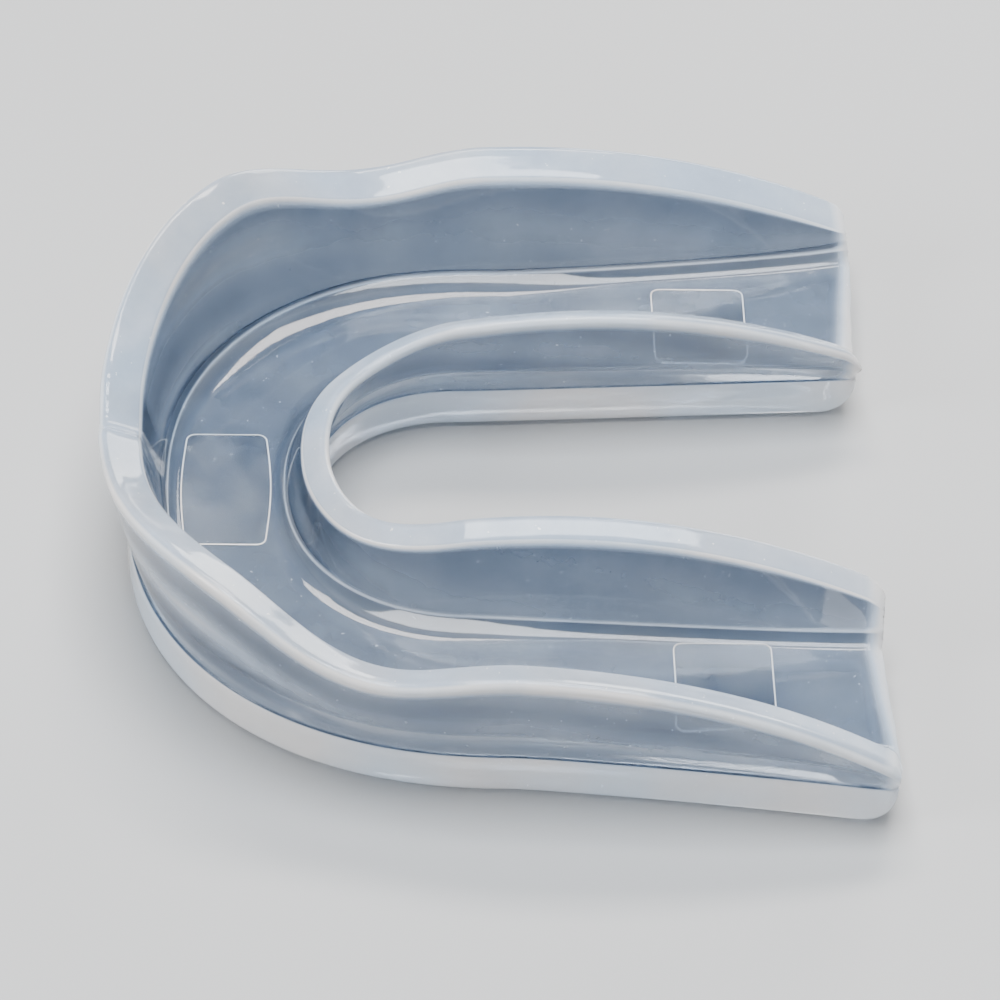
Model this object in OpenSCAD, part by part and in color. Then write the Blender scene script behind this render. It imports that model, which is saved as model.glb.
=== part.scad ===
// Single-arch mouthguard: one soft clear tray that holds the upper teeth, with three thin pads set
// flush in its biting floor. The front teeth face -Y, the arms run towards +Y, and the tray rests on
// Z = 0 with its origin under the middle of its outline.

/* [Arch outline] */
// Half the width of the floor slab where the round front meets the arms
slab_half_w = 25.5; // [22:0.1:31]
// Half the width of the floor slab across the arm ends
slab_end_half_w = 28.4; // [25:0.1:34]
// Length of the round front, from the foremost point of the slab to the start of the arms
front_l = 26.4; // [20:0.1:32]
// Length of the arms, from the round front to their ends
arm_l = 25.7; // [16:0.1:34]
// How square the outer outline of the round front is, where 2 is an ellipse
front_shape = 2.25; // [1.9:0.05:2.8]
// How late the arms splay, where 1 is a straight splay
splay_shape = 1.25; // [1:0.05:2]

/* [Gap between the arms] */
// Half the width of the gap at the slab, where the arms start
gap_half_w = 11.3; // [9.6:0.1:14]
// Half the width of the gap at the slab, across the arm ends
gap_end_half_w = 12.9; // [10:0.1:15.5]
// Distance from the foremost point of the slab to the front of the gap
front_floor_w = 13; // [10.5:0.1:15.6]
// Distance from the front of the gap to where the gap's sides start
gap_front_l = 10.9; // [8:0.1:15]
// How square the front of the gap is, where 2 is an ellipse
gap_shape = 2.25; // [1.9:0.05:2.8]
// How late the gap widens towards the arm ends, where 1 is a straight splay
gap_splay_shape = 1.05; // [1:0.05:2]

/* [Floor slab] */
// Height of the slab's upright side
slab_h = 3.25; // [2.2:0.1:5]
// Height of the biting floor above the underside
floor_h = 4; // [3.6:0.1:5.2]
// Radius along the bottom edge of the slab
slab_edge_r = 0.6; // [0.2:0.1:1]
// Width of the step between the slab's side and the foot of each wall
wall_step = 0.25; // [0.1:0.05:0.5]
// Height of the bevel that the step has instead of a sharp corner
step_bevel = 0.08; // [0.02:0.02:0.3]

/* [Outer wall] */
// Thickness of the outer wall
outer_wall_t = 3; // [2:0.05:3.6]
// Overhang of the outer rim beyond the slab at the front teeth
outer_front_flare = 2; // [0.8:0.1:3.5]
// Overhang of the outer rim beyond the slab at the start of the arms
outer_flare = 2.6; // [1:0.1:4]
// Overhang of the outer rim beyond the slab at the arm ends
outer_end_flare = 1.5; // [0.6:0.1:3]
// Height of the outer rim at the front teeth, beside the notch
rim_front_h = 12; // [9:0.1:18]
// Height of the outer rim at its highest, over the canine teeth
rim_canine_h = 15.3; // [12:0.1:21]
// Height of the outer rim in the dip behind the canine teeth
rim_dip_h = 11.7; // [9:0.1:17]
// Height of the outer rim at its second crest, over the molars
rim_molar_h = 12.9; // [10:0.1:18]
// Height of the outer rim at the arm ends
rim_end_h = 6.4; // [6:0.1:11]
// How much lower the channel side of the outer rim is than its outer side
outer_rim_drop = 1.1; // [0.2:0.05:1.5]
// Depth of the notch in the outer rim for the lip's midline fold
notch_depth = 1.2; // [0:0.1:3]
// Width of that notch
notch_w = 6; // [4:0.5:14]

/* [Inner wall] */
// Thickness of the inner wall
inner_wall_t = 2.1; // [1.6:0.05:2.6]
// How far the inner rim leans over the gap behind the front teeth
inner_front_flare = 1.4; // [0.5:0.1:3]
// How far the inner rim leans over the gap between the arms
inner_flare = 1.9; // [1:0.1:3.4]
// Height of the inner rim behind the front teeth
inner_front_h = 9.1; // [8:0.1:14]
// Height of the inner rim at its highest, beside the molars
inner_crest_h = 11.8; // [9:0.1:17]
// Height of the inner rim at the arm ends
inner_end_h = 7.1; // [6.6:0.1:11]
// How much lower the channel side of the inner rim is than its gap side
inner_rim_drop = 1.15; // [0.2:0.05:1.4]

/* [Edges] */
// Radius along both edges of each rim
rim_r = 0.45; // [0.2:0.05:0.6]
// Radius of the cove between the floor and each wall
cove_r = 0.7; // [0.4:0.1:1]
// Radius of the lower corner at the arm ends
toe_r = 2.2; // [0.8:0.1:2.6]
// Radius of the upper corners at the arm ends
heel_r = 1.6; // [0.4:0.1:2]
// Radius where the channel runs out at the arm ends
mouth_r = 0.8; // [0.3:0.1:1]
// Radius along the upright outer edges at the arm ends
end_edge_r = 0.4; // [0.1:0.1:0.6]
// Slope of the end faces: how far they lean back for each millimetre of height
end_lean = 0.04; // [0:0.02:0.3]

/* [Bite pads] */
// Thickness of each pad
pad_t = 1; // [0.5:0.1:2]
// Clearance round each pad in its pocket
pad_gap = 0.05; // [0.02:0.01:0.2]
// Corner radius of each pad
pad_corner_r = 0.7; // [0.3:0.1:1.2]
// Width of the front pad across the midline
front_pad_w = 11.4; // [6:0.1:14]
// Flat floor left in front of the front pad and behind it
front_pad_margin = 0.2; // [0.1:0.05:1]
// Bulge of the front pad's two long edges
front_pad_bow = 0.3; // [0:0.05:0.4]
// Flat floor left between the inner wall's cove and each arm pad
arm_pad_inner_margin = 0.2; // [0.1:0.05:1.5]
// Flat floor left between each arm pad and the outer wall's cove
arm_pad_outer_margin = 1.5; // [0.1:0.05:2]
// Length of each arm pad, along the arm
arm_pad_l = 6.8; // [3:0.1:9]
// Distance from the middle of each arm pad to the arm's end
arm_pad_back = 11; // [6:0.1:14]

/* [Hidden] */
$fn = 48;

// Rings along half of the round front and along each arm, and ring distances from each arm's end
front_rings = 20;
arm_rings = 9;
end_steps = [2.2, 1.7, 1.2, 0.8, 0.45, 0.2, 0.05, 0];

// Places along the arch, from 0 at the midline through 0.5 at the start of an arm to 1 at its end
canine_at = 0.25;
dip_at = 0.41;
molar_at = 0.5;
inner_start_at = 0.2;
inner_crest_at = 0.64;
full_flare_at = 0.4;
flare_fade_at = 0.5;
// How late the rims fall towards the arm ends, where 1 is a straight fall
outer_fall = 2.1;
inner_fall = 2;

// Share of a radius by which the middle point of a three-point corner stands back from the sharp corner
corner_mid = 0.3;
// Share of the lower end corner's rise that the top of the slab's bottom edge follows
toe_share = 0.9;
// Share of the channel's run-out that the inner rim follows
rim_run_share = 0.8;
// Wall height kept straight between an arm end's upper corner and its run-out
end_wall_min = 0.3;
// Half the step along the arch over which a line's direction is measured
line_step = 0.004;

// The outline's middle is at Y = 0 once the rims and the leaning ends are counted
back_reach = end_lean * inner_end_h;
end_y = (front_l + arm_l + outer_front_flare - back_reach) / 2;
arm_y = end_y - arm_l;
front_y = arm_y - front_l;
gap_front_y = front_y + front_floor_w;
gap_arm_y = gap_front_y + gap_front_l;
pad_z = floor_h - pad_t;
cut_above = 1;

// The upper corners at the arm ends are limited by the wall left above the cove
cove_top = floor_h + cove_r;
heel_base = cove_top + rim_r - mouth_r + end_wall_min;
outer_heel = min(heel_r, rim_end_h - outer_rim_drop - heel_base);
inner_heel = min(heel_r, inner_end_h - inner_rim_drop - heel_base);
toe = min(toe_r, slab_h - slab_edge_r);

function lerp(a, b, t) = a + (b - a) * t;
// Smooth rise from 0 to 1 with level ends
function ease(t) = (1 - cos(180 * min(1, max(0, t)))) / 2;
// Depth to which a corner of radius r has cut in at distance t from the end
function inset(r, t) = t >= r ? 0 : r - sqrt(r * r - (r - t) * (r - t));

// Height of the outer rim along the arch, without the notch
function outer_rise(s) =
    s < canine_at ? lerp(rim_front_h, rim_canine_h, ease(s / canine_at))
    : s < dip_at ? lerp(rim_canine_h, rim_dip_h, ease((s - canine_at) / (dip_at - canine_at)))
    : s < molar_at ? lerp(rim_dip_h, rim_molar_h, ease((s - dip_at) / (molar_at - dip_at)))
    : lerp(rim_molar_h, rim_end_h, pow((s - molar_at) / (1 - molar_at), outer_fall));
function notch(x) = abs(x) > notch_w / 2 ? 0 : notch_depth * (1 + cos(360 * x / notch_w)) / 2;
function inner_rise(s) =
    s < inner_crest_at
    ? lerp(inner_front_h, inner_crest_h, ease((s - inner_start_at) / (inner_crest_at - inner_start_at)))
    : lerp(inner_crest_h, inner_end_h, pow((s - inner_crest_at) / (1 - inner_crest_at), inner_fall));
function flare_at(s) =
    s < full_flare_at ? lerp(outer_front_flare, outer_flare, ease(s / full_flare_at))
    : lerp(outer_flare, outer_end_flare, ease((s - flare_fade_at) / (1 - flare_fade_at)));
function inner_flare_at(s) = lerp(inner_front_flare, inner_flare, ease(s / full_flare_at));

// Point on an outline of half width w that starts at y0, turns into the arms at y1 and splays to
// end_w at end_y. s runs from 0 to 1, and the round front is a rounded-square quarter from 0 to 0.5.
function outline(s, w, end_w, y0, y1, shape, splay) =
    s <= 0.5
    ? [w * pow(sin(180 * s), 2 / shape), y1 - (y1 - y0) * pow(max(0, cos(180 * s)), 2 / shape)]
    : [lerp(w, end_w, pow(2 * s - 1, splay)), lerp(y1, end_y, 2 * s - 1)];
function outer_line(s) =
    outline(s, slab_half_w, slab_end_half_w, front_y, arm_y, front_shape, splay_shape);
function gap_line(s) =
    outline(s, gap_half_w, gap_end_half_w, gap_front_y, gap_arm_y, gap_shape, gap_splay_shape);
// Offset, from each slab outline, of the channel face's foot at the top of the cove
function lean_at(rise, flare) = (flare + wall_step) * (cove_top - slab_h) / (rise - slab_h);
function outer_foot(s) = lean_at(outer_rise(s), flare_at(s)) - wall_step - outer_wall_t;
function inner_foot(s) = lean_at(inner_rise(s), inner_flare_at(s)) - wall_step - inner_wall_t;
// Unit direction away from the middle of the mouth, square to a line's run
function square_to(d) = [d[1], -d[0]] / norm(d);
function ahead(s) = min(1, s + line_step);
function behind(s) = max(0, s - line_step);
function outer_normal(s) = s == 0 ? [0, -1] : square_to(outer_line(ahead(s)) - outer_line(behind(s)));
function gap_normal(s) = s == 0 ? [0, -1] : square_to(gap_line(ahead(s)) - gap_line(behind(s)));

// Heights and offsets round the section at place s, t millimetres from the arm's end. Each point is
// [0 on the outer outline or 1 on the gap's, offset away from the channel, height].
function section(s, t) =
    let (
        h = outer_rise(s) - notch(outer_line(s)[0]) - inset(outer_heel, t),
        hi = inner_rise(s) - inset(inner_heel, t),
        side = inset(end_edge_r, t),
        run = inset(mouth_r, t),
        lift = inset(toe, t),
        f = floor_h - run,
        f_mid = f + corner_mid * cove_r,
        c = cove_top - run,
        face = flare_at(s) - outer_wall_t + run,
        face_i = inner_flare_at(s) - inner_wall_t + run * rim_run_share,
        foot = outer_foot(s) + run,
        foot_i = inner_foot(s) + run,
        top = flare_at(s) - side,
        top_i = inner_flare_at(s) - side,
        low = h - outer_rim_drop,
        low_i = hi - inner_rim_drop,
        edge_mid = corner_mid * slab_edge_r,
        rim_mid = corner_mid * rim_r,
        edge_top = slab_edge_r + lift * toe_share
    )
    [
        [0, -slab_edge_r - side, lift],
        [0, -edge_mid - side, edge_mid + lift],
        [0, -side, edge_top],
        [0, -side, slab_h - step_bevel],
        [0, -wall_step - side, slab_h],
        [0, top, h - rim_r],
        [0, top - rim_mid, h - rim_mid],
        [0, top - rim_r, h],
        [0, face + rim_r, low],
        [0, face + rim_mid, low - rim_mid],
        [0, face, low - rim_r],
        [0, foot, c],
        [0, foot - corner_mid * cove_r, f_mid],
        [0, foot - cove_r, f],
        [1, foot_i - cove_r, f],
        [1, foot_i - corner_mid * cove_r, f_mid],
        [1, foot_i, c],
        [1, face_i, low_i - rim_r],
        [1, face_i + rim_mid, low_i - rim_mid],
        [1, face_i + rim_r, low_i],
        [1, top_i - rim_r, hi],
        [1, top_i - rim_mid, hi - rim_mid],
        [1, top_i, hi - rim_r],
        [1, -wall_step - side, slab_h],
        [1, -side, slab_h - step_bevel],
        [1, -side, edge_top],
        [1, -edge_mid - side, edge_mid + lift],
        [1, -slab_edge_r - side, lift]
    ];

// One ring of the tray's skin on the +X side. The end faces lean, so rings near them lean in step.
function ring(s, t) =
    let (
        o = outer_line(s), on = outer_normal(s),
        g = gap_line(s), gn = gap_normal(s),
        lean = end_lean * ease(2 * s - 1)
    )
    [for (p = section(s, t))
        let (q = p[0] == 0 ? o + on * p[1] : g - gn * p[1]) [q[0], q[1] + lean * p[2], p[2]]];

// Place and distance from the arm's end of each ring: closer together at the midline, even over the
// arms, then close together again at the rounded end
ring_crowding = 1.25;
arm_end_s = 1 - end_steps[0] / arm_l / 2;
places = concat(
    [for (i = [0 : front_rings]) [0.5 * pow(i / front_rings, ring_crowding), arm_l]],
    [for (i = [1 : arm_rings - 1]) [lerp(0.5, arm_end_s, i / arm_rings), arm_l]],
    [for (t = end_steps) [1 - t / arm_l / 2, t]]
);
right_rings = [for (p = places) ring(p[0], p[1])];
ring_n = len(right_rings[0]);
last = len(places) - 1;
rings = concat(
    [for (i = [last : -1 : 1]) [for (p = right_rings[i]) [-p[0], p[1], p[2]]]],
    right_rings
);

// The tray's skin, joined ring to ring and closed by one face at each arm's end
module tray_skin() {
    count = len(rings);
    polyhedron(
        points = [for (r = rings) for (p = r) p],
        faces = concat(
            [for (i = [0 : count - 2]) for (j = [0 : ring_n - 1])
                let (k = (j + 1) % ring_n, a = i * ring_n, b = a + ring_n)
                each [[a + j, b + k, b + j], [a + j, a + k, b + k]]],
            [[for (j = [ring_n - 1 : -1 : 0]) j]],
            [[for (j = [0 : ring_n - 1]) (count - 1) * ring_n + j]]
        ),
        convexity = 10
    );
}

// Rounded outline of a pad with its long edges bowed outwards by bow
module pad_outline(w, l, bow, grow) {
    r = pad_corner_r;
    steps = 8;
    corner = [for (a = [180, 150, 120]) [r - w / 2 + r * cos(a), l / 2 - r + r * sin(a)]];
    edge = [for (i = [0 : steps])
        let (t = i / steps) [lerp(r - w / 2, w / 2 - r, t), l / 2 + bow * sin(180 * t)]];
    half = concat(corner, edge, [for (i = [2 : -1 : 0]) [-corner[i][0], corner[i][1]]]);
    scale([(w + 2 * grow) / w, (l + 2 * grow) / l])
        polygon(concat(half, [for (p = half) -p]));
}

// The pads fill the flat floor between the two coves, less their margins
flat_front_y = front_y - outer_foot(0) + cove_r;
flat_back_y = gap_front_y + inner_foot(0) - cove_r;
front_pad_l = flat_back_y - flat_front_y - 2 * (front_pad_margin + front_pad_bow);
arm_pad_s = 1 - arm_pad_back / arm_l / 2;
flat_inner_x = gap_line(arm_pad_s)[0] - inner_foot(arm_pad_s) + cove_r;
flat_outer_x = outer_line(arm_pad_s)[0] + outer_foot(arm_pad_s) - cove_r;
pad_inner_x = flat_inner_x + arm_pad_inner_margin;
pad_outer_x = flat_outer_x - arm_pad_outer_margin;

module front_pad_solid(grow, above) {
    translate([0, (flat_front_y + flat_back_y) / 2, pad_z])
        linear_extrude(pad_t + above) pad_outline(front_pad_w, front_pad_l, front_pad_bow, grow);
}

// side is -1 for the left arm and 1 for the right
module arm_pad_solid(side, grow, above) {
    translate([side * (pad_inner_x + pad_outer_x) / 2, end_y - arm_pad_back, pad_z])
        linear_extrude(pad_t + above) pad_outline(pad_outer_x - pad_inner_x, arm_pad_l, 0, grow);
}

module tray() {
    color([0.74, 0.82, 0.9, 0.6])
    difference() {
        tray_skin();
        front_pad_solid(pad_gap, cut_above);
        for (side = [-1, 1]) arm_pad_solid(side, pad_gap, cut_above);
    }
}

module front_bite_pad() {
    color([0.8, 0.86, 0.92, 0.7]) front_pad_solid(0, 0);
}

module left_bite_pad() {
    color([0.8, 0.86, 0.92, 0.7]) arm_pad_solid(-1, 0, 0);
}

module right_bite_pad() {
    color([0.8, 0.86, 0.92, 0.7]) arm_pad_solid(1, 0, 0);
}

tray();
front_bite_pad();
left_bite_pad();
right_bite_pad();
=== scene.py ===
"""Clear soft mouthguard on a pale floor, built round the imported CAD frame.

Sizes of the mouthguard are in millimetres; the floor, the lamps and the camera are in metres.
"""
import math

import bpy
import numpy as np
from mathutils import Matrix, Vector


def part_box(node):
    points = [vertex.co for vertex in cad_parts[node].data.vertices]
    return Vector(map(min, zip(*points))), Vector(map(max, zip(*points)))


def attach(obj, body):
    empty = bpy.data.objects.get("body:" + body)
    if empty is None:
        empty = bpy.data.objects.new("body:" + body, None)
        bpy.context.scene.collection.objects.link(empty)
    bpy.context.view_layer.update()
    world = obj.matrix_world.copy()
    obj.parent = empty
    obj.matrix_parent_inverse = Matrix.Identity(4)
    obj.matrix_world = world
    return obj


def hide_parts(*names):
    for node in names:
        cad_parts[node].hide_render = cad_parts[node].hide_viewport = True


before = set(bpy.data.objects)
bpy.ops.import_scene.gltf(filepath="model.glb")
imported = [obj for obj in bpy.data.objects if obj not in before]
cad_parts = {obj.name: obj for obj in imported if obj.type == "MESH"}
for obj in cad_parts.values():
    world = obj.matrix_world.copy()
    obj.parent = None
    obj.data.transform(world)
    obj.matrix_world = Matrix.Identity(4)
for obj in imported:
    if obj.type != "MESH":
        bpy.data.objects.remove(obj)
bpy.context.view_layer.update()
MM = 0.001

# ---------------------------------------------------------------- sizes, as in the CAD part
SLAB_HALF_W, SLAB_END_HALF_W = 25.5, 28.4
FRONT_L, ARM_L = 26.4, 25.7
FRONT_SHAPE, SPLAY_SHAPE = 2.25, 1.25
GAP_HALF_W, GAP_END_HALF_W = 11.3, 12.9
FRONT_FLOOR_W, GAP_FRONT_L = 13.0, 10.9
GAP_SHAPE, GAP_SPLAY_SHAPE = 2.25, 1.05
SLAB_H, FLOOR_H, WALL_STEP, STEP_BEVEL = 3.25, 4.0, 0.25, 0.03
SLAB_EDGE_R, COVE_H, RIM_R = 0.6, 0.7, 0.45
OUTER_T, OUTER_DROP, OUTER_END_H = 3.0, 1.1, 6.4
INNER_T, INNER_DROP, INNER_END_H = 2.1, 1.15, 7.1
OUTER_FLARES, INNER_FLARES = (2.0, 2.6, 1.5), (1.4, 1.9)
OUTER_HEIGHTS = ((0.0, 12.0), (0.25, 15.3), (0.41, 11.7), (0.5, 12.9))
INNER_HEIGHTS = ((0.2, 9.1), (0.64, 11.8))
FULL_FLARE_AT, OUTER_FALL, INNER_FALL = 0.4, 2.1, 2.0
NOTCH_DEPTH, NOTCH_W = 1.2, 6.0
TOE_R, HEEL_R, MOUTH_R, END_EDGE_R, END_WALL_MIN = 2.2, 1.6, 0.8, 0.4, 0.3
END_LEAN = 0.04

# Rings over the round front and each arm, and how finely each rounded end is stepped
FRONT_RINGS, ARM_RINGS, END_RINGS = 96, 70, 14
RING_CROWDING = 1.15

FRONT_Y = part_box("tray")[0].y / MM + OUTER_FLARES[0]
ARM_Y = FRONT_Y + FRONT_L
END_Y = ARM_Y + ARM_L
GAP_FRONT_Y = FRONT_Y + FRONT_FLOOR_W
GAP_ARM_Y = GAP_FRONT_Y + GAP_FRONT_L


def lerp(a, b, t):
    """The value a share t of the way from a to b."""
    return a + (b - a) * t


def ease(t):
    """Smooth rise from 0 to 1 with level ends."""
    return (1 - math.cos(math.pi * min(1.0, max(0.0, t)))) / 2


def inset(r, t):
    """How deep a corner of radius r has cut in at distance t from the end."""
    return 0.0 if t >= r else r - math.sqrt(r * r - (r - t) ** 2)


def rise(s, knots, end_h, fall):
    """Height at place s: through knots of (place, height) with level ends, then down to end_h."""
    if s <= knots[0][0]:
        return knots[0][1]
    for (s0, h0), (s1, h1) in zip(knots, knots[1:]):
        if s < s1:
            return lerp(h0, h1, ease((s - s0) / (s1 - s0)))
    start, top = knots[-1]
    return lerp(top, end_h, ((s - start) / (1 - start)) ** fall)


def notch(x):
    """Depth of the notch for the lip's frenulum, x away from the midline."""
    if abs(x) > NOTCH_W / 2:
        return 0.0
    return NOTCH_DEPTH * (1 + math.cos(2 * math.pi * x / NOTCH_W)) / 2


def outline(s, w, end_w, y0, y1, shape, splay):
    """Point on half an arch outline: the round front for s below 0.5, then the arm."""
    if s > 0.5:
        return np.array([lerp(w, end_w, (2 * s - 1) ** splay), lerp(y1, END_Y, 2 * s - 1)])
    a = math.pi * s
    x = w * math.sin(a) ** (2 / shape)
    return np.array([x, y1 - (y1 - y0) * max(0.0, math.cos(a)) ** (2 / shape)])


def outer_line(s):
    """Point on the slab's outer edge."""
    return outline(s, SLAB_HALF_W, SLAB_END_HALF_W, FRONT_Y, ARM_Y, FRONT_SHAPE, SPLAY_SHAPE)


def gap_line(s):
    """Point on the slab's inner edge, round the gap between the arms."""
    return outline(s, GAP_HALF_W, GAP_END_HALF_W, GAP_FRONT_Y, GAP_ARM_Y, GAP_SHAPE, GAP_SPLAY_SHAPE)


# Step along a line for its direction, and limits on a rounded corner: its sharpest angle's
# tangent and the share of each side that it may use
LINE_STEP, MIN_TANGENT, SIDE_SHARE = 0.01, 0.05, 0.48


def normal_at(line, s):
    """Unit direction away from the middle of the mouth, square to the line."""
    if s == 0:
        return np.array([0.0, -1.0])
    d = line(min(1.0, s + LINE_STEP)) - line(max(0.0, s - LINE_STEP))
    return np.array([d[1], -d[0]]) / np.hypot(*d)


def rounded(points, corners):
    """Polyline with each inner corner rounded, given as (radius, count of points) for each."""
    out = [np.array(points[0], float)]
    for i, (radius, count) in enumerate(corners, 1):
        a, b, c = (np.array(p, float) for p in points[i - 1 : i + 2])
        u, v = a - b, c - b
        lu, lv = np.hypot(*u), np.hypot(*v)
        u, v = u / lu, v / lv
        half = math.acos(max(-1.0, min(1.0, float(u @ v)))) / 2
        cut = min(radius / max(MIN_TANGENT, math.tan(half)), SIDE_SHARE * lu, SIDE_SHARE * lv)
        p, q = b + u * cut, b + v * cut
        for t in np.linspace(0, 1, count):
            w0, w1, w2 = (1 - t) ** 2, 2 * t * (1 - t) * math.sin(half), t * t
            out.append((w0 * p + w1 * b + w2 * q) / (w0 + w1 + w2))
    out.append(np.array(points[-1], float))
    return out


# Painted tone of each part of the skin: 0 is painted shade, the dark slate of the broad faces
# 1 is a painted white glow on the slab's edges and sides and on the rims; the step's dark tone is
# painted shade
UNDER_TONE, EDGE_GLOW_TONE, SIDE_GLOW_TONE, STEP_SHADE_TONE, WALL_TONE = 0.45, 0.8, 0.92, 0.1, 0.42
RIM_GLOW_TONE, RIM_TOP_GLOW_TONE = 0.85, 0.62
# The wall faces below the rims carry painted shade, lightest at their foot
FACE_SHADE_TONE, FACE_FOOT_SHADE_TONE, CREASE_HIGHLIGHT_TONE, FLOOR_TONE = 0.0, 0.16, 0.6, 0.33
# The arm ends: their painted white glow and the band over which it fades in
END_GLOW_TONE, END_GLOW_BAND = 1.0, 1.3
# Points added on the straight spans of the skin's section, and on the slope and the floor
SIDE_SPAN, WALL_SPAN, RIM_SPAN, FACE_SPAN, SLOPE_SPAN, FLOOR_SPAN = 3, 12, 3, 10, 9, 9
# Points on each rounded corner of the section
EDGE_POINTS, STEP_POINTS, RIM_POINTS = 6, 3, 7
# How far the sharp outer corner of the rim stands past the CAD rim, before it is rounded
RIM_PROUD = 0.1
STEP_OUT_R, STEP_IN_R, RIM_OUT_R, RIM_IN_R = 0.07, 0.12, 0.5, 0.5
# Half the height and width of the fine crease at the foot of the channel's walls
CREASE = 0.03
# How far the flat underside reaches in, the depth of the wall face's sharp foot and the least
# face height that it is measured on
UNDER_REACH, FACE_LOW, MIN_FACE_H = 3.0, 0.25, 0.5
# Reach of the slope at the foot of the channel's walls: short beside the pads, long at the canines
SHORT_SLOPE, LONG_SLOPE, INNER_SLOPE_SHARE, SLOPE_START = 1.15, 2.9, 0.6, 0.06
SWELL_FROM, SWELL_OVER, SHRINK_FROM, SHRINK_OVER = 0.08, 0.16, 0.46, 0.24
# Faint ripple of the inner wall's tone: strength, and waves up the wall and along it
RIPPLE, RIPPLE_UP, RIPPLE_ALONG = 0.06, 9, 14
# Painted reflection streaks on the outer wall: base and front strength, where the front ends, waves and
# fading
STREAK_BASE, STREAK_FRONT, STREAK_END, STREAK_FADE = 0.08, 0.3, 0.42, 0.25
STREAK_UP, STREAK_ALONG, STREAK_PHASE, STREAK_THIN = 1.7, 0.9, 0.8, 0.4


def slope_reach(s, outer):
    """How far the slope at the foot of a wall reaches into the channel at place s."""
    swell = ease((s - SWELL_FROM) / SWELL_OVER) * (1 - ease((s - SHRINK_FROM) / SHRINK_OVER))
    return lerp(SHORT_SLOPE, LONG_SLOPE, swell * (1.0 if outer else INNER_SLOPE_SHARE))


def wall_ripple_and_painted_reflections(s, v, outer):
    """Painted reflection streaks along the outer face of the wall, strongest round the front; a faint
    ripple of tone on the inner.
    """
    if not outer:
        return RIPPLE * math.sin(RIPPLE_UP * v + RIPPLE_ALONG * s)
    strength = STREAK_BASE + STREAK_FRONT * ease((STREAK_END - s) / STREAK_FADE)
    wave = math.sin(2 * math.pi * (STREAK_UP * v + STREAK_ALONG * s) + STREAK_PHASE)
    return strength * wave * (1 - STREAK_THIN * v)


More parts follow.
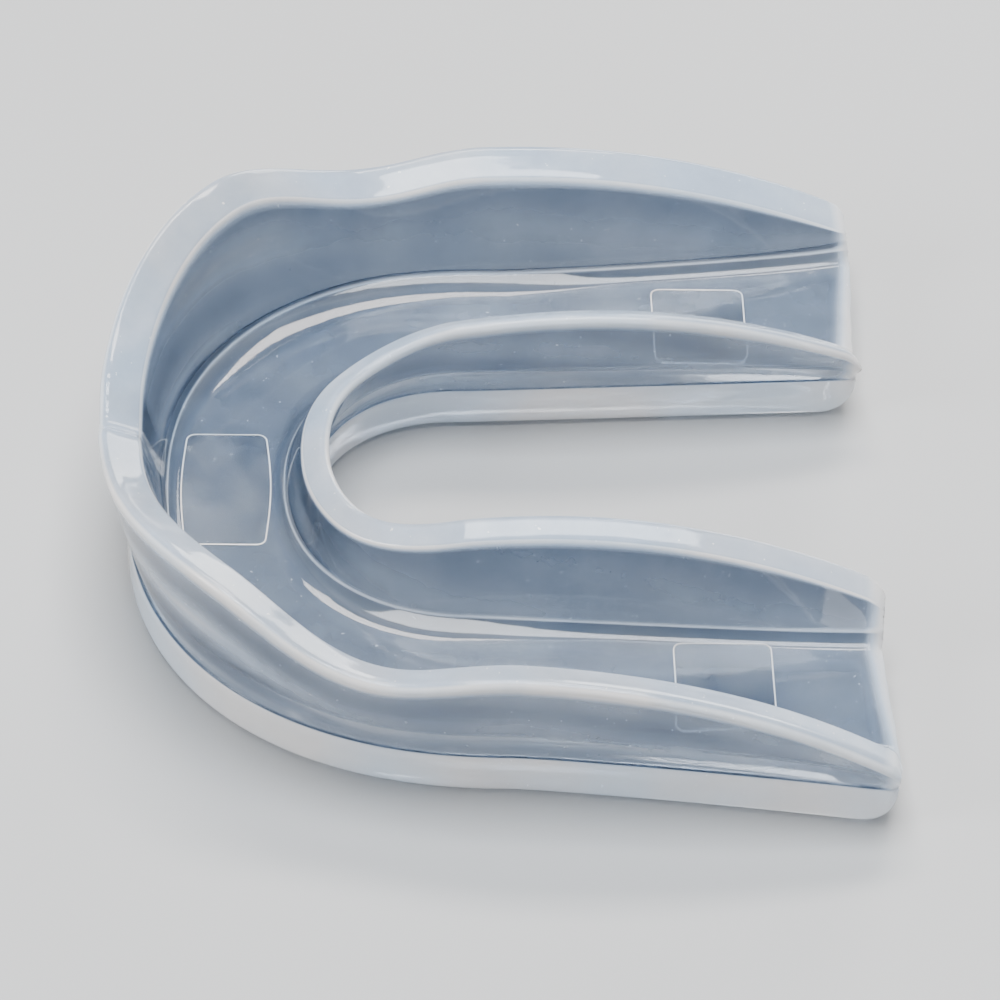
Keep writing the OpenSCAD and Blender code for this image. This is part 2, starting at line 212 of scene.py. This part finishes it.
def half_section(s, t, outer):
    """One wall and its half of the slab: (offset away from the channel, height, painted tone of light
    and shade) of each point.
    """
    if outer:
        plain = rise(s, OUTER_HEIGHTS, OUTER_END_H, OUTER_FALL)
        full = plain - notch(outer_line(s)[0])
        thick, drop, end_h = OUTER_T, OUTER_DROP, OUTER_END_H
        flare = lerp(OUTER_FLARES[0], OUTER_FLARES[1], ease(s / FULL_FLARE_AT))
        if s > 0.5:
            flare = lerp(OUTER_FLARES[1], OUTER_FLARES[2], ease(2 * s - 1))
    else:
        plain = full = rise(s, INNER_HEIGHTS, INNER_END_H, INNER_FALL)
        thick, drop, end_h = INNER_T, INNER_DROP, INNER_END_H
        flare = lerp(INNER_FLARES[0], INNER_FLARES[1], ease(s / FULL_FLARE_AT))
    heel = min(HEEL_R, end_h - drop - RIM_R - FLOOR_H - COVE_H + MOUTH_R - END_WALL_MIN)
    h = full - inset(heel, t)
    side, run, lift = inset(END_EDGE_R, t), inset(MOUTH_R, t), inset(TOE_R, t)
    floor, crease = FLOOR_H - run, FLOOR_H + COVE_H - run
    lean = (flare + WALL_STEP) * (FLOOR_H + COVE_H - SLAB_H) / (plain - SLAB_H)
    foot = lean - WALL_STEP - thick + run
    face_top = np.array([flare - thick + run, h - drop])
    face_share = FACE_LOW / max(MIN_FACE_H, h - drop - crease)
    face_low = lerp(np.array([foot, crease]), face_top, face_share)
    corners = [
        (-UNDER_REACH, lift),
        (-side, lift),
        (-side, SLAB_H),
        (-WALL_STEP - side, SLAB_H + STEP_BEVEL),
        (flare - side + RIM_PROUD, h + RIM_PROUD),
        tuple(face_top),
        tuple(face_low),
    ]
    roundings = [
        (SLAB_EDGE_R, EDGE_POINTS),
        (STEP_OUT_R, STEP_POINTS),
        (STEP_IN_R, STEP_POINTS),
        (RIM_OUT_R, RIM_POINTS),
        (RIM_IN_R, RIM_POINTS),
    ]
    chain = rounded(corners, roundings)
    painted_tones = [UNDER_TONE] + [EDGE_GLOW_TONE] * 2 + [SIDE_GLOW_TONE] * 7 + [STEP_SHADE_TONE] * 2 + [WALL_TONE]
    painted_tones += [RIM_GLOW_TONE] * 4 + [RIM_TOP_GLOW_TONE] * 6 + [RIM_GLOW_TONE] * 4 + [FACE_FOOT_SHADE_TONE]
    # the last point of each rounding, from which a straight span runs to the next
    wall_foot = EDGE_POINTS + 2 * STEP_POINTS
    spans = {
        EDGE_POINTS: SIDE_SPAN,
        wall_foot: WALL_SPAN,
        wall_foot + RIM_POINTS: RIM_SPAN,
        wall_foot + 2 * RIM_POINTS: FACE_SPAN,
    }
    points = []
    for i, (p, painted_tone) in enumerate(zip(chain, painted_tones)):
        points.append((p[0], p[1], painted_tone))
        count = spans.get(i, 0)
        for k in range(count):
            v = (k + 1) / (count + 1)
            q = lerp(p, chain[i + 1], v)
            # The outer wall's span carries painted reflection streaks
            if count == WALL_SPAN:
                shade = WALL_TONE + wall_ripple_and_painted_reflections(s, v, outer)
            # Painted shade down the wall face, darkest just below the rim
            elif count == FACE_SPAN:
                shade = lerp(FACE_SHADE_TONE, FACE_FOOT_SHADE_TONE, v)
            else:
                shade = painted_tone
            points.append((q[0], q[1], shade))
    # A pale line of painted highlight along the crease at the foot of the wall
    points.append((foot + CREASE, crease + CREASE, CREASE_HIGHLIGHT_TONE))
    points.append((foot - CREASE, crease - CREASE, CREASE_HIGHLIGHT_TONE))
    reach = slope_reach(s, outer)
    for k in range(SLOPE_SPAN):
        u = lerp(SLOPE_START, 1.0, k / (SLOPE_SPAN - 1))
        z = floor + (COVE_H - CREASE) * (1 - u) ** 2
        points.append((foot - CREASE - reach * u, z, lerp(FACE_FOOT_SHADE_TONE, FLOOR_TONE, u)))
    # Towards each arm's end the tone fades up to a painted white glow
    band = max(0.0, 1 - t / END_GLOW_BAND)
    return [(u, z, lerp(painted_tone, END_GLOW_TONE, band)) for u, z, painted_tone in points]


# Ragged flash left by the mould round each arm's end face, and its two waves round the ring,
# each with its strength and its angle from one point to the next
FLASH_BAND, FLASH_OUT = 0.12, 0.07
FLASH_WAVE, FLASH_TURN, FLASH_WAVE_2, FLASH_TURN_2 = 0.6, 2.3, 0.4, 5.1


def flash(j, t):
    """How far the moulding's flash pushes point j of a ring outwards along the arm."""
    if t > FLASH_BAND:
        return 0.0
    ragged = 1 + FLASH_WAVE * math.sin(FLASH_TURN * j) + FLASH_WAVE_2 * math.sin(FLASH_TURN_2 * j + 1)
    return FLASH_OUT * ragged * (1 - t / FLASH_BAND)


def ring(s, t):
    """One ring of the tray's skin on the +X side: its points and their painted tones of light and
    shade.
    """
    o, on = outer_line(s), normal_at(outer_line, s)
    g, gn = gap_line(s), normal_at(gap_line, s)
    lean = END_LEAN * ease(2 * s - 1)
    outer = [(*(o + on * u), z, painted_tone) for u, z, painted_tone in half_section(s, t, True)]
    inner = [(*(g - gn * u), z, painted_tone) for u, z, painted_tone in half_section(s, t, False)][::-1]
    loop = outer + between(outer[-1], inner[0]) + inner + between(inner[-1], outer[0])
    points = [(x, y + lean * z + flash(j, t), z) for j, (x, y, z, painted_tone) in enumerate(loop)]
    return points, [p[3] for p in loop]


def between(a, b):
    """Evenly spaced points between two, ends left out."""
    a, b = np.array(a), np.array(b)
    return [tuple(lerp(a, b, k / FLOOR_SPAN)) for k in range(1, FLOOR_SPAN)]


def make_tray():
    """The tray's skin: rings from one arm's end round the front to the other, closed at each end."""
    end_t = [TOE_R * (1 - math.sin(math.pi / 2 * k / END_RINGS)) for k in range(END_RINGS + 1)]
    arm_stop = 1 - TOE_R / ARM_L / 2
    places = [(0.5 * (i / FRONT_RINGS) ** RING_CROWDING, ARM_L) for i in range(FRONT_RINGS + 1)]
    places += [(lerp(0.5, arm_stop, i / ARM_RINGS), ARM_L) for i in range(1, ARM_RINGS)]
    places += [(1 - t / ARM_L / 2, t) for t in end_t]
    half = [ring(s, t) for s, t in places]
    mirrored = [([(-x, y, z) for x, y, z in p], painted_tones) for p, painted_tones in reversed(half[1:])]
    rings = mirrored + half
    n = len(half[0][0])
    verts = [tuple(c * MM for c in p) for points, _ in rings for p in points]
    painted_tones = [painted_tone for _, values in rings for painted_tone in values]
    faces = []
    for i in range(len(rings) - 1):
        a, b = i * n, (i + 1) * n
        faces += [(a + j, b + j, b + (j + 1) % n, a + (j + 1) % n) for j in range(n)]
    faces.append(tuple(range(n)))
    faces.append(tuple((len(rings) - 1) * n + j for j in reversed(range(n))))
    return new_piece("clear_tray", verts, faces, painted_tones)


SHARP_FROM = math.radians(50)


def new_piece(name, verts, faces, painted_tones):
    """A smooth-shaded mesh object with its faces turned outwards and a painted tone of light and shade
    for each point.
    """
    mesh = bpy.data.meshes.new(name)
    mesh.from_pydata(verts, [], faces)
    mesh.validate()
    layer = mesh.attributes.new("painted_tone", "FLOAT", "POINT")
    layer.data.foreach_set("value", np.array(painted_tones, np.float32))
    for poly in mesh.polygons:
        poly.use_smooth = True
    mesh.set_sharp_from_angle(angle=SHARP_FROM)
    piece = bpy.data.objects.new(name, mesh)
    bpy.context.scene.collection.objects.link(piece)
    bpy.context.view_layer.objects.active = piece
    piece.select_set(True)
    bpy.ops.object.mode_set(mode="EDIT")
    bpy.ops.mesh.select_all(action="SELECT")
    bpy.ops.mesh.normals_make_consistent(inside=False)
    bpy.ops.object.mode_set(mode="OBJECT")
    piece.select_set(False)
    return piece


# ---------------------------------------------------------------- bite pads
PAD_CORNER_R, PAD_SHEET_T, PAD_LIFT = 0.7, 0.03, 0.012
BEAD_W, BEAD_H = 0.12, 0.05
# Outline of the bead from its outer foot to its inner foot, as shares of its width and height
BEAD_PROFILE = ((0.0, 0.0), (0.0, 0.5), (0.3, 1.0), (0.7, 1.0), (1.0, 0.0))
CORNER_STEPS, EDGE_STEPS = 6, 14


def pad_outline(low, high, bow, inside):
    """Rounded rectangle between two corners, its long edges bowed by bow, pulled in by inside."""
    cx, cy = (low.x + high.x) / 2 / MM, (low.y + high.y) / 2 / MM
    half_w = (high.x - low.x) / 2 / MM - inside
    half_l = (high.y - low.y) / 2 / MM - bow - inside
    r = PAD_CORNER_R - inside
    flat = half_w - r
    upper = []
    for x in np.linspace(0, flat, EDGE_STEPS)[:-1]:
        upper.append((x, half_l + bow * math.cos(math.pi / 2 * x / flat)))
    for a in np.linspace(math.pi / 2, 0, CORNER_STEPS):
        upper.append((flat + r * math.cos(a), half_l - r + r * math.sin(a)))
    upper += [(half_w, y) for y in np.linspace(half_l - r, 0, EDGE_STEPS)[1:-1]]
    right = upper + [(half_w, 0)] + [(x, -y) for x, y in reversed(upper)]
    loop = right + [(-x, y) for x, y in reversed(right[1:-1])]
    return [(cx + x, cy + y) for x, y in loop]


def make_pad(node, name, bow):
    """A thin clear pad on the biting floor, with a fine raised bead whose pale painted highlight shows
    as its outline.
    """
    low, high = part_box(node)
    base = FLOOR_H + PAD_LIFT
    top = base + PAD_SHEET_T
    profile = [(0.0, base)] + [(u * BEAD_W, top + v * BEAD_H) for u, v in BEAD_PROFILE]
    loops = [[(x, y, z) for x, y in pad_outline(low, high, bow, inside)] for inside, z in profile]
    n = len(loops[0])
    verts = [tuple(c * MM for c in p) for loop in loops for p in loop]
    # The outer edge and bead take tone 1, a painted highlight; the flat faces stay clear
    painted_tones = [0.0] * n + [1.0] * (n * (len(loops) - 2)) + [0.0] * n
    faces = []
    for i in range(len(loops) - 1):
        a, b = i * n, (i + 1) * n
        faces += [(a + j, b + j, b + (j + 1) % n, a + (j + 1) % n) for j in range(n)]
    faces.append(tuple(reversed(range(n))))
    faces.append(tuple((len(loops) - 1) * n + j for j in range(n)))
    pad = new_piece(name, verts, faces, painted_tones)
    for poly in pad.data.polygons:
        # the two flat faces, which have more corners than the strips round them
        poly.use_smooth = len(poly.vertices) == 4
    return pad


# ---------------------------------------------------------------- materials
IOR_EVA = 1.45
# Cloud in the skin's tone: scale of its noise and how far it shifts the tone
CLOUD_SCALE, CLOUD = 140, 0.3
# Specks: scale of their noise, the level above which it is a speck, and their paleness
SPECK_SCALE, SPECK_LEVEL, SPECK = 2600, 0.74, 0.25
# Drift of the edges' painted white glow between a cool and a warm white
DRIFT_SCALE, EDGE_DRIFT = 75, 0.9
DRIFT = ((0.4, (0.80, 0.90, 1.0)), (0.6, (1.0, 0.94, 0.89)))
# Handling marks, stretched along Y, and the roughness that they add to the polish
MARK_SCALE, MARK_STRETCH, POLISH, MARKS = 900, (1, 0.3, 1), 0.01, 0.1
# Fine waviness of the moulded surface, its height in metres
WAVE_SCALE, WAVE_STRENGTH, WAVE_H = 380, 0.15, 0.0001


def node_tree(name):
    """A new node material: itself, its tree and its shader."""
    material = bpy.data.materials.new(name)
    material.use_nodes = True
    tree = material.node_tree
    return material, tree, tree.nodes["Principled BSDF"]


def noise(tree, scale, detail=3.0, rough=0.5, stretch=(1, 1, 1)):
    """Noise on object coordinates, stretched per axis."""
    coords = tree.nodes.new("ShaderNodeTexCoord")
    mapping = tree.nodes.new("ShaderNodeMapping")
    mapping.inputs["Scale"].default_value = stretch
    texture = tree.nodes.new("ShaderNodeTexNoise")
    texture.inputs["Scale"].default_value = scale
    texture.inputs["Detail"].default_value = detail
    texture.inputs["Roughness"].default_value = rough
    tree.links.new(coords.outputs["Object"], mapping.inputs["Vector"])
    tree.links.new(mapping.outputs["Vector"], texture.inputs["Vector"])
    return texture.outputs["Fac"]


def ramp(tree, value, stops):
    """Colour ramp through (place, colour) stops."""
    node = tree.nodes.new("ShaderNodeValToRGB")
    elements = node.color_ramp.elements
    for i, (place, colour) in enumerate(stops):
        element = elements[i] if i < 2 else elements.new(place)
        element.position = place
        element.color = (*colour, 1)
    tree.links.new(value, node.inputs["Fac"])
    return node.outputs["Color"]


def combine(tree, kind, *values):
    """Math node over numbers and sockets."""
    node = tree.nodes.new("ShaderNodeMath")
    node.operation = kind
    for socket, value in zip(node.inputs, values):
        if isinstance(value, (int, float)):
            socket.default_value = value
        else:
            tree.links.new(value, socket)
    return node.outputs[0]


def tinted(tree, colour, tint, share):
    """Colour multiplied by tint, by a share that may be a socket."""
    node = tree.nodes.new("ShaderNodeMix")
    node.data_type = "RGBA"
    node.blend_type = "MULTIPLY"
    tree.links.new(share, node.inputs["Factor"])
    tree.links.new(colour, node.inputs["A"])
    tree.links.new(tint, node.inputs["B"])
    return node.outputs["Result"]


def clear_eva(name, colours, clear, clear_edge):
    """Clear soft EVA, cloudy and specked: glassy on its broad faces, dark with painted shade, and pale
    and less clear along its edges as a painted glow.
    """
    material, tree, shader = node_tree(name)
    # The painted tone: 0 gives painted shade on the broad faces, 1 a painted white glow on the edges
    painted_tone = tree.nodes.new("ShaderNodeAttribute")
    painted_tone.attribute_name = "painted_tone"
    cloud = combine(tree, "MULTIPLY_ADD", noise(tree, CLOUD_SCALE, 5.0, 0.6), CLOUD, -CLOUD / 2)
    mixed = combine(tree, "ADD", painted_tone.outputs["Fac"], cloud)
    specks = combine(tree, "GREATER_THAN", noise(tree, SPECK_SCALE, 2.0), SPECK_LEVEL)
    mixed = combine(tree, "MULTIPLY_ADD", specks, SPECK, mixed)
    colour = ramp(tree, mixed, colours)
    drift = ramp(tree, noise(tree, DRIFT_SCALE, 2.0), DRIFT)
    edge_share = combine(tree, "MULTIPLY", mixed, EDGE_DRIFT)
    tree.links.new(tinted(tree, colour, drift, edge_share), shader.inputs["Base Color"])
    weight = combine(tree, "MULTIPLY_ADD", mixed, clear_edge - clear, clear)
    tree.links.new(weight, shader.inputs["Transmission Weight"])
    marks = noise(tree, MARK_SCALE, 6.0, 0.65, MARK_STRETCH)
    rough = combine(tree, "MULTIPLY_ADD", marks, MARKS, POLISH)
    tree.links.new(rough, shader.inputs["Roughness"])
    bump = tree.nodes.new("ShaderNodeBump")
    bump.inputs["Strength"].default_value = WAVE_STRENGTH
    bump.inputs["Distance"].default_value = WAVE_H
    tree.links.new(noise(tree, WAVE_SCALE, 3.0, 0.55), bump.inputs["Height"])
    tree.links.new(bump.outputs["Normal"], shader.inputs["Normal"])
    shader.inputs["IOR"].default_value = IOR_EVA
    return material


FLOOR_NOISE_SCALE, FLOOR_ROUGHNESS = 6, 0.5
FLOOR_COLOURS = ((0.3, (0.39, 0.395, 0.40)), (0.7, (0.42, 0.425, 0.43)))


def floor_material():
    """Plain pale floor with hardly any variation."""
    material, tree, shader = node_tree("pale_floor")
    shade = ramp(tree, noise(tree, FLOOR_NOISE_SCALE, 2.0), FLOOR_COLOURS)
    tree.links.new(shade, shader.inputs["Base Color"])
    shader.inputs["Roughness"].default_value = FLOOR_ROUGHNESS
    return material


# ---------------------------------------------------------------- build
# Colours at each painted tone, from the dark slate painted shade of the broad faces to the painted
# white glow of the edges
EVA_SHADE_TO_GLOW_COLOURS = (
    (0.0, (0.065, 0.09, 0.14)),
    (0.3, (0.24, 0.305, 0.41)),
    (0.6, (0.64, 0.74, 0.87)),
    (0.85, (1.0, 1.0, 1.0)),
)
# Pad colours: a near-white clear sheet, up to the white of the bead's painted highlight
PAD_COLOURS = ((0.0, (0.90, 0.95, 1.0)), (0.8, (1.0, 1.0, 1.0)))
# Share of light let through by the broad faces and by the palest edges, which let less through so that
# their painted glow shows white
TRAY_CLEAR, TRAY_EDGE_CLEAR = 0.96, 0.32
# The pads' small pale share that is not let through lifts the shade the pad sheets cast on the floor
# beneath: painted light
PAD_CLEAR, PAD_EDGE_CLEAR = 0.97, 0.3
EVA = clear_eva("clear_eva", EVA_SHADE_TO_GLOW_COLOURS, TRAY_CLEAR, TRAY_EDGE_CLEAR)
PAD_EVA = clear_eva("pad_eva", PAD_COLOURS, PAD_CLEAR, PAD_EDGE_CLEAR)

tray = make_tray()
tray.data.materials.append(EVA)
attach(tray, "root")
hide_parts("tray")

FRONT_PAD_BOW = 0.3
for node, name, bow in (
    ("front_bite_pad", "front_pad_sheet", FRONT_PAD_BOW),
    ("left_bite_pad", "left_pad_sheet", 0.0),
    ("right_bite_pad", "right_pad_sheet", 0.0),
):
    pad = make_pad(node, name, bow)
    pad.data.materials.append(PAD_EVA)
    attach(pad, "root")
    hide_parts(node)

# ---------------------------------------------------------------- floor, lights and camera
FLOOR_REACH, FLOOR_DROP = 1.5, 0.0002
floor_corners = [(x * FLOOR_REACH, y * FLOOR_REACH, 0) for x, y in ((-1, -1), (1, -1), (1, 1), (-1, 1))]
floor_mesh = bpy.data.meshes.new("floor")
floor_mesh.from_pydata(floor_corners, [], [(0, 1, 2, 3)])
floor = bpy.data.objects.new("floor", floor_mesh)
bpy.context.scene.collection.objects.link(floor)
floor.location.z = -FLOOR_DROP
floor.data.materials.append(floor_material())


LAMP_TARGET = Vector((0, 0, 0.005))


def area_light(name, place, size, power, colour):
    """A soft box of (width, length), its length along Y, that looks at the object."""
    lamp = bpy.data.lights.new(name, "AREA")
    lamp.shape = "RECTANGLE"
    lamp.size, lamp.size_y = size
    lamp.energy, lamp.color = power, colour
    obj = bpy.data.objects.new(name, lamp)
    look = (LAMP_TARGET - Vector(place)).normalized()
    side = Vector((0, 1, 0)).cross(look).normalized()
    up = look.cross(side)
    obj.matrix_world = Matrix.Translation(place) @ Matrix((side, up, -look)).transposed().to_4x4()
    bpy.context.scene.collection.objects.link(obj)


area_light("overhead", (0.03, 0.0, 0.78), (0.34, 0.5), 12.0, (0.96, 0.98, 1.0))
area_light("overhead_warm", (-0.38, 0.0, 0.68), (0.14, 0.5), 5.5, (1.0, 0.93, 0.86))
area_light("front", (0.25, -0.8, 0.42), (0.35, 0.35), 6.0, (0.95, 0.98, 1.0))
area_light("side", (0.75, 0.15, 0.3), (0.3, 0.3), 1.2, (0.97, 0.98, 1.0))
area_light("back", (-0.8, 0.3, 0.3), (0.4, 0.4), 4.5, (1.0, 0.98, 0.95))

WORLD_COLOUR, WORLD_STRENGTH = (0.75, 0.79, 0.85, 1), 0.42
world = bpy.data.worlds.new("studio")
bpy.context.scene.world = world
world.use_nodes = True
sky = world.node_tree.nodes["Background"]
sky.inputs["Color"].default_value = WORLD_COLOUR
sky.inputs["Strength"].default_value = WORLD_STRENGTH

# The camera looks across the mouthguard from its right-hand side, 43 degrees above the floor
CAM_AZ, CAM_EL, CAM_ROLL = 86.94, 43.00, 2.60
CAM_LENS, CAM_SENSOR, CAM_DISTANCE = 204.2, 36, 0.3969
CAM_TARGET = Vector((0.00189, 0.00096, 0.005))
az, el = math.radians(CAM_AZ), math.radians(CAM_EL)
back = Vector((math.sin(az) * math.cos(el), -math.cos(az) * math.cos(el), math.sin(el)))
camera_data = bpy.data.cameras.new("camera")
camera_data.lens, camera_data.sensor_width = CAM_LENS, CAM_SENSOR
camera = bpy.data.objects.new("camera", camera_data)
bpy.context.scene.collection.objects.link(camera)
aim = (-back).to_track_quat("-Z", "Y").to_matrix().to_4x4()
turn = aim @ Matrix.Rotation(math.radians(CAM_ROLL), 4, "Z")
camera.matrix_world = Matrix.Translation(CAM_TARGET + back * CAM_DISTANCE) @ turn
bpy.context.scene.camera = camera
